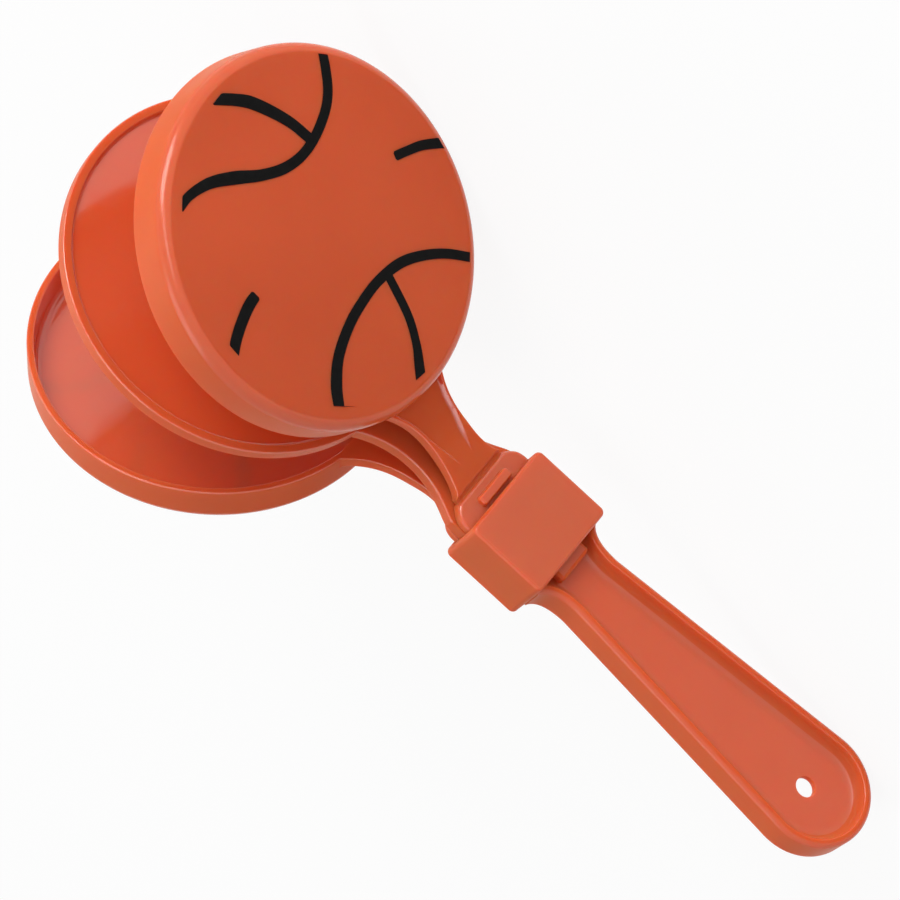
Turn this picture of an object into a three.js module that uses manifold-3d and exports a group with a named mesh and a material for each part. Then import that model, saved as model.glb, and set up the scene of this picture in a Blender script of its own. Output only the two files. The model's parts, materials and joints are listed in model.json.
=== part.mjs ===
// A plastic hand clapper: a paddle with a fixed centre disc, two dished outer discs that swing on
// living hinges, and a collar that holds the three mouldings together above the handle.
// Millimetres, +Z up. It lies on its side edge, with the three discs fanned open.
//
// Each piece is drawn flat first: X runs along the clapper from the handle to the discs, Y across
// it and Z out of its front. X = 0 is the upper end of the collar, and Z = 0 is the middle of the
// paddle's thickness.

import * as THREE from 'three';
import { mergeVertices } from 'three/addons/utils/BufferGeometryUtils.js';
import Module from 'manifold-3d';

const wasm = await Module();
wasm.setup();

// Centre disc
const DISC_RADIUS = 44;
const DISC_CENTRE = 75.8;
const PADDLE_DEPTH = 3.4;
const DISC_RIM = 2;
const DISC_FLOOR = 1.2;
const DISC_DRAFT = 0.7;

// Outer dishes
const LIP_RADIUS = 43.6;
const LIP_ROUND = 0.4;
const DISH_HEIGHT = 10.5;
const DISH_WALL = 1.7;
const DISH_TAPER = 0.3;
const DISH_FILLET = 3;

// Arms and living hinges
const HINGE_X = 6.3;
const HINGE_WIDTH = 18.2;
const FILM_THICKNESS = 0.5;
const FILM_LENGTH = 3.4;
const GROOVE_FLOOR = 0.7;
const OPEN_LIMIT_DEG = 45;
const ARM_WAIST = 12.1;
const ARM_WAIST_X = 19.5;
const ARM_ROOT_WIDTH = 23.6;
const ARM_THICKNESS = 2.4;
const ARM_WEB = 1.3;
const FLANGE_WIDTH = 1.4;
const FLANGE_RISE = 0.4;
const CHANNEL_END = 12.2;
const CHANNEL_END_WIDTH = 5.2;
const CHANNEL_FLARE = 17.8;
const CHANNEL_FLARE_WIDTH = 15.2;
const NECK_WAIST = 15.2;
const NECK_ROOT_WIDTH = 28;
const NECK_SHOULDER_END = 3.8;

// Directions of the outlines where their curves meet, and how far a curve holds to them
const HINGE_LEAN_DEG = -38;
const HINGE_HOLD = 2.9;
const WAIST_HOLD = 7;
const ROOT_LEAN_DEG = 42;
const ROOT_HOLD = 6;
const SHOULDER_HOLD = 2.6;
const SHOULDER_LEAN_DEG = -52;
const SHOULDER_LEAN_HOLD = 2.2;
const GRIP_LEAN_DEG = 65;
const GRIP_HOLD = 2.9;

// Tongues that the collar clamps
const SHOULDER_WIDTH = 24.8;
const SHOULDER_END = 0.6;
const TONGUE_STOP = 1.8;
const TAIL_WIDTH = 11;
const TAIL_REACH = 2.9;
const BUMP_LENGTH = 11.2;
const BUMP_WIDTH = 2.5;
const BUMP_HEIGHT = 1.5;
const BUMP_OFFSET = 1.95;
const RAIL_HEIGHT = 0.9;
const RAIL_WIDTH = 1.6;
const RAIL_SPACING = 14;
const RAIL_END_GAP = 1;

// Collar
const COLLAR_LENGTH = 21;
const COLLAR_SIDE_WALL = 1.3;
const COLLAR_FACE_WALL = 2.2;
const COLLAR_CORNER = 1.5;
const COLLAR_ROUND = 0.9;
const COLLAR_BORE_ROUND = 0.3;

// Handle
const HANDLE_LENGTH = 91.7;
const TIP_RADIUS = 14.7;
const GRIP_WAIST = 17.6;
const GRIP_WAIST_DROP = 9.5;
const GRIP_SHOULDER_DROP = 0.4;
const HANDLE_DEPTH = 8.6;
const HANDLE_ROUND = 1.3;
const HANDLE_RIM = 2;
const HANDLE_WEB = 1.8;
const HANDLE_DRAFT = 2;
const HOLE_DIAMETER = 4.9;
const HOLE_OFFSET = 1;

// Printed seam lines
const PRINT_THICKNESS = 0.25;
const PRINT_MARGIN = 4.3;
const PRINT_SHIFT = 1.9;
const PRINT_GAP = 0.25;

// Running clearance between the stacked layers, and the fan at rest
const LAYER_GAP = 0.3;
const FRONT_REST_DEG = 18.4;
const REAR_REST_DEG = 23.8;

// Seam strokes on a dish face. Each point is [x, y, width], measured from the centre of the disc.
const SEAMS = {
  seam_outer: [
    [
      [28.4, 26.5, 2.2], [28.7, 22, 2.2], [27.3, 16, 2.6], [24, 10, 3], [20, 4, 2.6], [17.2, -2, 2.5],
      [16.2, -8, 2.4], [17, -14, 2.5], [19.2, -20, 2.5], [22, -24, 2.6], [26, -27.2, 2.6],
      [29.5, -29.4, 2.4],
    ],
    [[16.6, -12.5, 2.6], [24, -10.4, 2.7], [32, -6.1, 3], [36, -2.5, 2.8], [40, 2.4, 2.6]],
  ],
  seam_stub_low: [
    [[0.1, -28, 2.2], [-1.2, -31.6, 2.2], [-2.8, -35.6, 2.3], [-5, -39.2, 2.4], [-7.6, -43, 2.6]],
  ],
  seam_stub_high: [
    [[2.4, 24, 2.6], [1.9, 27.3, 2.8], [0.6, 31.3, 2.8], [-1.2, 35.3, 2.8], [-3.6, 39, 2.6]],
  ],
  seam_inner: [
    [
      [-30.5, 25.6, 2.8], [-29, 24.4, 2.9], [-25.4, 21.6, 3.1], [-21.4, 16.6, 2.8], [-18.5, 9.6, 2.6],
      [-17.1, 3, 2.5], [-16.6, -4, 2.4], [-17.6, -11.4, 2.5], [-20.2, -17.4, 2.4], [-24.4, -23.4, 2.3],
      [-30.5, -29.3, 2.2],
    ],
    [[-40, 3, 2.8], [-37, 0.7, 2.7], [-33, -2.2, 2.3], [-27, -5, 2.3], [-16.6, -7.3, 2.3]],
  ],
};

// Heights worked out from the sizes above
const layerInner = PADDLE_DEPTH / 2 + LAYER_GAP;
const armOuter = layerInner + ARM_THICKNESS;
const railOuter = armOuter + RAIL_HEIGHT;
const hingeZ = layerInner + FILM_THICKNESS / 2;
const dishTop = layerInner + DISH_HEIGHT;
const collarInnerZ = railOuter + LAYER_GAP;
const collarInnerY = SHOULDER_WIDTH / 2 + LAYER_GAP;
const printRadius = LIP_RADIUS - PRINT_MARGIN;
const tipEndX = -COLLAR_LENGTH - HANDLE_LENGTH;
const tipCentreX = tipEndX + TIP_RADIUS;
const handleTopX = -COLLAR_LENGTH + TONGUE_STOP - LAYER_GAP;

// Steps of curves, how far a cutter runs past what it cuts, and how deep a raised feature is rooted
const CURVE_STEPS = 9;
const ROUND_STEPS = 72;
const HOLE_STEPS = 28;
const CORNER_STEPS = 6;
const STROKE_STEPS = 2;
const BEYOND = 2;
const ROOTED = 0.3;

const shellOrange = new THREE.Color(0.72, 0.12, 0.045);
const printBlack = new THREE.Color(0.02, 0.02, 0.022);

function plastic() {
  return new THREE.MeshStandardMaterial({ color: shellOrange, roughness: 0.38, metalness: 0 });
}

function ink() {
  return new THREE.MeshStandardMaterial({ color: printBlack, roughness: 0.45, metalness: 0 });
}

// Solids for joining and cutting
function solid(geometry) {
  const bare = geometry.clone();
  for (const name of Object.keys(bare.attributes)) {
    if (name !== 'position') bare.deleteAttribute(name);
  }
  const merged = mergeVertices(bare, 1e-5);
  const vertProperties = new Float32Array(merged.attributes.position.array);
  const triVerts = new Uint32Array(merged.index.array);
  return new wasm.Manifold(new wasm.Mesh({ numProp: 3, vertProperties, triVerts }));
}

function geometryOf(body) {
  const mesh = body.getMesh();
  const geometry = new THREE.BufferGeometry();
  geometry.setAttribute('position', new THREE.BufferAttribute(Float32Array.from(mesh.vertProperties), 3));
  geometry.setIndex(new THREE.BufferAttribute(Uint32Array.from(mesh.triVerts), 1));
  geometry.computeVertexNormals();
  return geometry;
}

function box(x0, x1, halfY, z0, z1) {
  const geometry = new THREE.BoxGeometry(x1 - x0, 2 * halfY, z1 - z0);
  geometry.translate((x0 + x1) / 2, 0, (z0 + z1) / 2);
  return solid(geometry);
}

function discCylinder(radius, z0, z1) {
  const geometry = new THREE.CylinderGeometry(radius, radius, z1 - z0, ROUND_STEPS);
  geometry.rotateX(Math.PI / 2);
  geometry.translate(DISC_CENTRE, 0, (z0 + z1) / 2);
  return solid(geometry);
}

// A closed outline from its upper half, which runs from low X to high X. Straight ends need no
// point on the centre line.
function mirrored(halfPath) {
  const upper = halfPath.getPoints(CURVE_STEPS);
  const lower = upper.filter((p) => p.y > 1e-6).reverse();
  return new THREE.Shape([...upper, ...lower.map((p) => new THREE.Vector2(p.x, -p.y))]);
}

function plate(shape, z0, z1, bevel = 0) {
  const geometry = new THREE.ExtrudeGeometry(shape, {
    depth: z1 - z0 - 2 * bevel,
    bevelEnabled: bevel > 0,
    bevelThickness: bevel,
    bevelSize: bevel,
    bevelOffset: -bevel,
    bevelSegments: 2,
    curveSegments: CURVE_STEPS,
  });
  geometry.translate(0, 0, z0 + bevel);
  return solid(geometry);
}

// A pocket cutter whose walls lean out by the draft from its floor to the rim above it
function pocket(floorShape, floorZ, rimZ, draft) {
  const geometry = new THREE.ExtrudeGeometry(floorShape, {
    depth: BEYOND,
    bevelEnabled: true,
    bevelThickness: rimZ - floorZ,
    bevelSize: draft,
    bevelSegments: 1,
    curveSegments: CURVE_STEPS,
  });
  geometry.translate(0, 0, rimZ);
  return solid(geometry);
}

function lathed(points) {
  const geometry = new THREE.LatheGeometry(points.map(([r, z]) => new THREE.Vector2(r, z)), ROUND_STEPS);
  geometry.rotateX(Math.PI / 2);
  geometry.translate(DISC_CENTRE, 0, 0);
  return solid(geometry);
}

function arcPoints(centreR, centreZ, radius, fromDeg, toDeg, steps) {
  const points = [];
  for (let i = 0; i <= steps; i += 1) {
    const angle = THREE.MathUtils.degToRad(fromDeg + ((toDeg - fromDeg) * i) / steps);
    points.push([centreR + radius * Math.cos(angle), centreZ + radius * Math.sin(angle)]);
  }
  return points;
}

// The rear of a symmetrical cut is the front one turned over
function bothFaces(body, cutter) {
  return body.subtract(cutter).subtract(cutter.rotate([180, 0, 0]));
}

// One curve of an outline. Each end is [x, y, direction in degrees, how far it holds to that].
function bend(path, [x0, y0, deg0, hold0], [x1, y1, deg1, hold1]) {
  const out = THREE.MathUtils.degToRad(deg0);
  const into = THREE.MathUtils.degToRad(deg1);
  const firstX = x0 + hold0 * Math.cos(out);
  const firstY = y0 + hold0 * Math.sin(out);
  const secondX = x1 - hold1 * Math.cos(into);
  const secondY = y1 - hold1 * Math.sin(into);
  path.bezierCurveTo(firstX, firstY, secondX, secondY, x1, y1);
}

function waistToDisc(path, waistHalf, rootHalf) {
  const endX = DISC_CENTRE - Math.sqrt(DISC_RADIUS ** 2 - rootHalf ** 2) + BEYOND;
  bend(path, [ARM_WAIST_X, waistHalf, 0, ROOT_HOLD], [endX, rootHalf, ROOT_LEAN_DEG, ROOT_HOLD]);
  path.lineTo(DISC_CENTRE, rootHalf);
}

// Handle outline, drawn in by an inset for its pocket
function handleHalf(inset, topX) {
  const tip = TIP_RADIUS - inset;
  const waist = GRIP_WAIST / 2 - inset;
  const waistX = -COLLAR_LENGTH - GRIP_WAIST_DROP;
  const run = waistX - tipCentreX;
  const lean = Math.asin(tip / Math.hypot(run, waist)) - Math.atan2(waist, run);
  const shoulder = SHOULDER_WIDTH / 2 - inset;
  const shoulderX = -COLLAR_LENGTH - GRIP_SHOULDER_DROP;
  const path = new THREE.Path();
  path.absarc(tipCentreX, 0, tip, Math.PI, Math.PI / 2 - lean, true);
  path.lineTo(waistX, waist);
  bend(path, [waistX, waist, 0, GRIP_WAIST_DROP / 2], [shoulderX, shoulder, GRIP_LEAN_DEG, GRIP_HOLD]);
  path.lineTo(topX, shoulder);
  return path;
}

function handle() {
  const halfDepth = HANDLE_DEPTH / 2;
  const long = plate(mirrored(handleHalf(0, 0)), -halfDepth, halfDepth, HANDLE_ROUND);
  const body = long.subtract(box(handleTopX, BEYOND, SHOULDER_WIDTH, -HANDLE_DEPTH, HANDLE_DEPTH));
  const floor = mirrored(handleHalf(HANDLE_RIM + HANDLE_DRAFT, BEYOND));
  const cutter = pocket(floor, HANDLE_WEB / 2, halfDepth, HANDLE_DRAFT);
  const hole = new THREE.CylinderGeometry(HOLE_DIAMETER / 2, HOLE_DIAMETER / 2, HANDLE_DEPTH, HOLE_STEPS);
  hole.rotateX(Math.PI / 2);
  hole.translate(tipCentreX + HOLE_OFFSET, 0, 0);
  return bothFaces(body, cutter).subtract(solid(hole));
}

function neckCore() {
  const shoulder = SHOULDER_WIDTH / 2;
  const waist = NECK_WAIST / 2;
  const path = new THREE.Path();
  path.moveTo(handleTopX - BEYOND, shoulder);
  path.lineTo(NECK_SHOULDER_END, shoulder);
  const waistHold = WAIST_HOLD + SHOULDER_HOLD;
  bend(path, [NECK_SHOULDER_END, shoulder, 0, SHOULDER_HOLD], [ARM_WAIST_X, waist, 0, waistHold]);
  waistToDisc(path, waist, NECK_ROOT_WIDTH / 2);
  const body = plate(mirrored(path), -PADDLE_DEPTH / 2, PADDLE_DEPTH / 2);
  return body.subtract(discCylinder(DISC_RADIUS - DISC_RIM / 2, -PADDLE_DEPTH, PADDLE_DEPTH));
}

function centreDisc() {
  const rim = PADDLE_DEPTH / 2;
  const floor = DISC_FLOOR / 2;
  const edge = DISC_RADIUS - LIP_ROUND;
  const inner = DISC_RADIUS - DISC_RIM;
  return lathed([
    [0, -floor],
    [inner - DISC_DRAFT, -floor],
    [inner, -rim],
    ...arcPoints(edge, -rim + LIP_ROUND, LIP_ROUND, -90, 0, 2),
    ...arcPoints(edge, rim - LIP_ROUND, LIP_ROUND, 0, 90, 2),
    [inner, rim],
    [inner - DISC_DRAFT, floor],
    [0, floor],
  ]);
}

function centrePaddle() {
  return handle().add(neckCore()).add(centreDisc());
}

function dish() {
  const wallTop = LIP_RADIUS - DISH_TAPER;
  const insideTop = dishTop - DISH_WALL;
  const insideFillet = DISH_FILLET - DISH_WALL / 2;
  return lathed([
    [0, insideTop],
    ...arcPoints(wallTop - DISH_WALL - insideFillet, insideTop - insideFillet, insideFillet, 90, 0, 3),
    [LIP_RADIUS - DISH_WALL, layerInner],
    ...arcPoints(LIP_RADIUS - LIP_ROUND, layerInner + LIP_ROUND, LIP_ROUND, -90, 0, 2),
    ...arcPoints(wallTop - DISH_FILLET, dishTop - DISH_FILLET, DISH_FILLET, 0, 90, 5),
    [0, dishTop],
  ]);
}

// The V groove over the film is as wide as the arm needs to swing to its open limit
function hingeGroove() {
  const rise = railOuter + BEYOND - hingeZ;
  const floorHalf = GROOVE_FLOOR / 2;
  const topHalf = floorHalf + rise * Math.tan(THREE.MathUtils.degToRad(OPEN_LIMIT_DEG / 2));
  const section = new THREE.Shape([
    new THREE.Vector2(-floorHalf, -BEYOND),
    new THREE.Vector2(floorHalf, -BEYOND),
    new THREE.Vector2(floorHalf, 0),
    new THREE.Vector2(topHalf, rise),
    new THREE.Vector2(-topHalf, rise),
    new THREE.Vector2(-floorHalf, 0),
  ]);
  const geometry = new THREE.ExtrudeGeometry(section, { depth: 2 * SHOULDER_WIDTH, bevelEnabled: false });
  geometry.translate(0, 0, -SHOULDER_WIDTH);
  geometry.rotateX(Math.PI / 2);
  geometry.translate(HINGE_X, 0, hingeZ);
  const filmRoom = FILM_LENGTH / 2 + LAYER_GAP;
  const filmTop = layerInner + FILM_THICKNESS + LAYER_GAP;
  const relief = box(HINGE_X - filmRoom, HINGE_X + filmRoom, SHOULDER_WIDTH, 0, filmTop);
  return solid(geometry).add(relief);
}

function armOutline() {
  const hinge = HINGE_WIDTH / 2;
  const waist = ARM_WAIST / 2;
  const path = new THREE.Path();
  path.moveTo(HINGE_X, hinge);
  bend(path, [HINGE_X, hinge, HINGE_LEAN_DEG, HINGE_HOLD], [ARM_WAIST_X, waist, 0, WAIST_HOLD]);
  waistToDisc(path, waist, ARM_ROOT_WIDTH / 2);
  return mirrored(path);
}

// The channel between the flanges starts with a round end and widens all the way to the dish
function channelOutline() {
  const half = CHANNEL_END_WIDTH / 2;
  const rootHalf = ARM_ROOT_WIDTH / 2 - FLANGE_WIDTH;
  const rootX = DISC_CENTRE - Math.sqrt(LIP_RADIUS ** 2 - rootHalf ** 2);
  const path = new THREE.Path();
  path.absarc(CHANNEL_END + half, 0, half, Math.PI, Math.PI / 2, true);
  path.lineTo(CHANNEL_END + CHANNEL_FLARE, CHANNEL_FLARE_WIDTH / 2);
  path.lineTo(rootX, rootHalf);
  path.lineTo(DISC_CENTRE, rootHalf);
  return mirrored(path);
}

function arm() {
  const flangeTop = armOuter + FLANGE_RISE;
  const flat = plate(armOutline(), layerInner, armOuter);
  const raised = plate(armOutline(), armOuter - ROOTED, flangeTop);
  const flangeEnd = CHANNEL_END + FLANGE_WIDTH;
  const nearHinge = box(0, flangeEnd, SHOULDER_WIDTH, 0, flangeTop + BEYOND);
  const channel = plate(channelOutline(), layerInner + ARM_WEB, flangeTop + BEYOND);
  const body = flat.add(raised.subtract(nearHinge)).subtract(channel);
  return body.subtract(discCylinder(LIP_RADIUS - DISH_WALL / 2, 0, dishTop));
}

function dishWithArm() {
  return dish().add(arm()).subtract(hingeGroove());
}

function tongueOutline(stopX) {
  const shoulder = SHOULDER_WIDTH / 2;
  const tailEnd = -COLLAR_LENGTH - TAIL_REACH;
  const path = new THREE.Path();
  path.moveTo(tailEnd, TAIL_WIDTH / 2);
  path.lineTo(stopX, TAIL_WIDTH / 2);
  path.lineTo(stopX, shoulder);
  path.lineTo(SHOULDER_END, shoulder);
  const hingeEdge = [HINGE_X, HINGE_WIDTH / 2, SHOULDER_LEAN_DEG, SHOULDER_LEAN_HOLD];
  bend(path, [SHOULDER_END, shoulder, 0, SHOULDER_HOLD], hingeEdge);
  return mirrored(path);
}

// The raised bump that the collar butts against
function bump() {
  const reach = (BUMP_LENGTH - BUMP_WIDTH) / 2;
  const shape = new THREE.Shape();
  shape.absarc(BUMP_OFFSET, reach, BUMP_WIDTH / 2, 0, Math.PI);
  shape.absarc(BUMP_OFFSET, -reach, BUMP_WIDTH / 2, Math.PI, 2 * Math.PI);
  return plate(shape, armOuter - ROOTED, armOuter + BUMP_HEIGHT, ROOTED);
}

function tongue() {
  const stopX = -COLLAR_LENGTH + TONGUE_STOP;
  const rail = box(stopX + RAIL_END_GAP, -RAIL_END_GAP, RAIL_WIDTH / 2, armOuter - ROOTED, railOuter);
  return plate(tongueOutline(stopX), layerInner, armOuter)
    .add(bump())
    .add(rail.translate([0, RAIL_SPACING / 2, 0]))
    .add(rail.translate([0, -RAIL_SPACING / 2, 0]))
    .subtract(hingeGroove());
}

function hingeFilm() {
  const half = FILM_LENGTH / 2;
  const width = HINGE_WIDTH / 2 - LAYER_GAP;
  return box(HINGE_X - half, HINGE_X + half, width, layerInner, layerInner + FILM_THICKNESS);
}

function roundedRectangle(x0, x1, halfY, round) {
  const corners = [
    [x1 - round, halfY - round],
    [x0 + round, halfY - round],
    [x0 + round, round - halfY],
    [x1 - round, round - halfY],
  ];
  const points = corners.flatMap(([x, y], quarter) => {
    const from = quarter * 90;
    return arcPoints(x, y, round, from, from + 90, CORNER_STEPS);
  });
  return new THREE.Shape(points.map(([x, y]) => new THREE.Vector2(x, y)));
}

// The collar is rounded at its four corners, as seen from its broad faces, and along all its edges
function collar() {
  const outerY = collarInnerY + COLLAR_SIDE_WALL;
  const outerZ = collarInnerZ + COLLAR_FACE_WALL;
  const face = roundedRectangle(-COLLAR_LENGTH, 0, outerY, COLLAR_CORNER);
  const block = plate(face, -outerZ, outerZ, COLLAR_ROUND);
  const opening = roundedRectangle(-collarInnerZ, collarInnerZ, collarInnerY, COLLAR_BORE_ROUND);
  const bore = plate(opening, -COLLAR_LENGTH - BEYOND, BEYOND);
  return block.subtract(bore.rotate([0, 90, 0]));
}

// One printed stroke: a band along a smooth line through its points, as wide as they say
function stroke(points) {
  const marks = points.map((point) => new THREE.Vector3(...point));
  const line = new THREE.CatmullRomCurve3(marks, false, 'catmullrom');
  const steps = STROKE_STEPS * (points.length - 1);
  const left = [];
  const right = [];
  for (let i = 0; i <= steps; i += 1) {
    const { x, y, z: width } = line.getPoint(i / steps);
    const way = line.getTangent(i / steps);
    const at = new THREE.Vector2(x, y);
    const aside = new THREE.Vector2(-way.y, way.x).setLength(width / 2);
    left.push(at.clone().add(aside));
    right.unshift(at.clone().sub(aside));
  }
  const z0 = dishTop + PRINT_GAP;
  return plate(new THREE.Shape([...right, ...left]), z0, z0 + PRINT_THICKNESS);
}

function seamPrint(strokes) {
  const z0 = dishTop + PRINT_GAP;
  let print = stroke(strokes[0]);
  for (const points of strokes.slice(1)) print = print.add(stroke(points));
  const border = discCylinder(printRadius, z0 - BEYOND, z0 + BEYOND).translate([0, -PRINT_SHIFT, 0]);
  return print.translate([DISC_CENTRE, 0, 0]).intersect(border);
}

function piece(name, body, material, about = [0, 0, 0]) {
  const geometry = geometryOf(body.translate(about.map((value) => -value)));
  const mesh = new THREE.Mesh(geometry, material);
  mesh.name = name;
  return mesh;
}

// One outer moulding: its tongue and film stay with the paddle, and its arm swings on the hinge
function outerMoulding(side, restDeg) {
  const whole = new THREE.Group();
  const swing = new THREE.Group();
  const hinge = [HINGE_X, 0, hingeZ];
  swing.position.set(...hinge);
  swing.rotation.y = -THREE.MathUtils.degToRad(restDeg);
  swing.add(piece(`${side}_shell`, dishWithArm(), plastic(), hinge));
  for (const [name, strokes] of Object.entries(SEAMS)) {
    swing.add(piece(`${side}_${name}`, seamPrint(strokes), ink(), hinge));
  }
  whole.add(swing);
  whole.add(piece(`${side}_tongue`, tongue(), plastic()));
  whole.add(piece(`${side}_hinge_film`, hingeFilm(), plastic()));
  return whole;
}

// The clapper lies on the edge fillet of its rear dish and on the round end of its handle. The
// loop settles the tilt at which both are equally low.
function restingTilt() {
  const open = THREE.MathUtils.degToRad(REAR_REST_DEG);
  const centreX = HINGE_X + (DISC_CENTRE - HINGE_X) * Math.cos(open);
  const filletRadius = LIP_RADIUS - DISH_TAPER - DISH_FILLET;
  const filletRise = dishTop - DISH_FILLET - hingeZ;
  let tilt = 0;
  for (let i = 0; i < 12; i += 1) {
    const across = Math.hypot(Math.cos(open) * Math.sin(tilt), Math.cos(tilt));
    const along = Math.sin(open) * Math.sin(tilt);
    const reach = filletRadius * across + filletRise * along + DISH_FILLET;
    tilt = Math.asin((reach - TIP_RADIUS) / (centreX - tipCentreX));
  }
  return tilt;
}

function assemble() {
  const flat = new THREE.Group();
  flat.add(piece('center_paddle', centrePaddle(), plastic()));
  flat.add(piece('collar', collar(), plastic()));
  flat.add(outerMoulding('front', FRONT_REST_DEG));
  const rear = outerMoulding('rear', REAR_REST_DEG);
  rear.rotation.x = Math.PI;
  flat.add(rear);
  flat.rotation.x = Math.PI / 2;
  const tilted = new THREE.Group();
  tilted.add(flat);
  tilted.rotation.y = -restingTilt();
  const placed = new THREE.Group();
  placed.add(tilted);
  placed.updateMatrixWorld(true);
  const bounds = new THREE.Box3().setFromObject(placed, true);
  const middle = bounds.getCenter(new THREE.Vector3());
  tilted.position.set(-middle.x, -middle.y, -bounds.min.z);
  return placed;
}

const group = assemble();
group.updateMatrixWorld(true);

export default group;
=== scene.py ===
"""Looks of the hand clapper: fine meshes, plastic and print, a pale floor and soft light.

Pieces are drawn in millimetres in the clapper's own flat frame, with X along it from the handle to
the discs, Y across it and Z out of its front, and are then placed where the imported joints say.
"""

import json
import math
import bmesh
import bpy
from mathutils import Matrix, Vector

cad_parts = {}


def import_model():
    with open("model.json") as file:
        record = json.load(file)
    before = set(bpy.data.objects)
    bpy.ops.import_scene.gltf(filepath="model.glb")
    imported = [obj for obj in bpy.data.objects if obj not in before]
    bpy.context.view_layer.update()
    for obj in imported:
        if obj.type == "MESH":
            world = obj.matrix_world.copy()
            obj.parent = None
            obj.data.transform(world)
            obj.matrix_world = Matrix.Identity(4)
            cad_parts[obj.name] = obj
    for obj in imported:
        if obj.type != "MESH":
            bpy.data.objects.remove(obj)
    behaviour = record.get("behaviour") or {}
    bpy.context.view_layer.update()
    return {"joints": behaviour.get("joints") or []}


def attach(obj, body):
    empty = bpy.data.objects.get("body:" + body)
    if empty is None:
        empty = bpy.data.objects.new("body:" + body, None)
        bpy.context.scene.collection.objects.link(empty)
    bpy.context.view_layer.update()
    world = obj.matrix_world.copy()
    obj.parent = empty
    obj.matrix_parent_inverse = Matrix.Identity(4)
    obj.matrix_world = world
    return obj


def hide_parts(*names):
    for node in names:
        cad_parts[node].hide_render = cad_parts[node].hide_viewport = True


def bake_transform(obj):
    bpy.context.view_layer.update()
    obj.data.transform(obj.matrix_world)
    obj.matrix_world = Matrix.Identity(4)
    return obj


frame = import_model()

MM = 0.001

# Centre disc, in millimetres like every size below
DISC_RADIUS = 44
DISC_CENTRE = 75.8
PADDLE_DEPTH = 3.4
DISC_RIM = 2.0
DISC_FLOOR = 1.2
RIM_DRAFT = 0.6
RIM_ROUND = 0.4
RIM_INNER_ROUND = 0.3
RIM_COVE = 0.5

# Outer dishes
LIP_RADIUS = 43.6
DISH_HEIGHT = 10.5
DISH_WALL = 1.7
DISH_TAPER = 0.3
DISH_FILLET = 3.0
DISH_INNER_FILLET = 2.0
LIP_ROUND = 0.45
LAYER_GAP = 0.3

# Hinges: the film, and the groove whose rounded sides lean apart above it
HINGE_X = 6.3
HINGE_HALF = 9.1
FILM_THICKNESS = 0.5
FILM_RISE = 1.1
FILM_INSET = 0.45
FILM_ROOT = 0.6
FILM_ROUND = 0.15
FILM_LIFT = 0.02
GROOVE_HALF = 0.35
GROOVE_LEAN = math.tan(math.radians(12))
GROOVE_LEAN_REACH = 2.5
GROOVE_ROUND = 0.8

# Arms, with a channel between their flanges
ARM_THICKNESS = 2.4
ARM_END_INSET = 0.25
ARM_WAIST_X = 19.5
ARM_WAIST_HALF = 6.05
ARM_ROOT_HALF = 11.8
ARM_ROUND = 0.3
FLANGE_RISE = 0.4
FLANGE_LEAST = 0.75
FLANGE_AT_DISH = 1.0
FLANGE_GROWS = (28, 34)
CHANNEL_LEAST = 0.002
CHANNEL_DEPTH = 1.1
CHANNEL_START = 12.0
CHANNEL_FULL = 19.0
CHANNEL_END_HALF = 2.4
CHANNEL_WIDENING = 0.3
CHANNEL_SLOPE = 0.3
CHANNEL_COVE = 0.6
ROOT_COVE = 1.1
ROOT_COVE_FROM = 0.5

# Neck of the paddle, a hair thinner than the disc's rim
NECK_WAIST_HALF = 7.6
NECK_ROOT_HALF = 14
NECK_SHOULDER_END = 3.8
NECK_CORNER = 2
NECK_ROUND = 0.4
NECK_SINK = 0.01

# Directions of the outlines in degrees where their curves meet, and how far a curve holds to them
HINGE_LEAN = -38
HINGE_HOLD = 2.7
WAIST_HOLD = 7
ROOT_LEAN = 42
ROOT_HOLD = 6
ROOT_BEYOND = 2
SHOULDER_HOLD = 2.6
SHOULDER_LEAN = -52
SHOULDER_LEAN_HOLD = 2.2
NECK_SHOULDER_HOLD = 2
NECK_WAIST_HOLD = 9
GRIP_WAIST_HOLD = 4.75
GRIP_LEAN = 65
GRIP_HOLD = 2.9

# Tongues
SHOULDER_HALF = 12.4
SHOULDER_END = 0.6
HINGE_FLARE = 0.2
TONGUE_LEAN_START = 2.8
TONGUE_LEAN_SHORT = 0.4
TONGUE_STOP = 1.8
TONGUE_CORNER = 1
TONGUE_ROUND = 0.85
TONGUE_UNDER_ROUND = 0.25
TONGUE_INSET = 0.88
TAIL_HALF = 5.5
TAIL_REACH = 2.9
TAIL_CORNER = 1
TAIL_ROOT_CORNER = 0.6
ROOTED = 0.3
BUMP_LENGTH = 11.2
BUMP_WIDTH = 2.5
BUMP_HEIGHT = 1.5
BUMP_X = 1.95
BUMP_CORNER = 0.8
BUMP_SKIRT = 0.5
BUMP_SKIRT_LOW = 0.02
BUMP_SKIRT_HIGH = 0.05
BUMP_COVE = 0.25
BUMP_DRAFT = 0.05
BUMP_ROUND = 0.5
BUMP_TOP_INSET = 0.7
RAIL_HEIGHT = 0.9
RAIL_WIDTH = 1.6
RAIL_OFFSET = 7
RAIL_END_GAP = 1
RAIL_CORNER = 0.5
RAIL_ROUND = 0.3
RAIL_TOP_INSET = 0.45

# Collar
COLLAR_LENGTH = 21
COLLAR_HALF_Y = 14
COLLAR_HALF_Z = 7.8
COLLAR_CORNER = 1.5
COLLAR_EDGE = 0.9
BORE_HALF_Y = 12.7
BORE_HALF_Z = 5.6
BORE_CORNER = 0.6
BORE_EDGE = 0.4
BORE_BEYOND = 0.6

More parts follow.
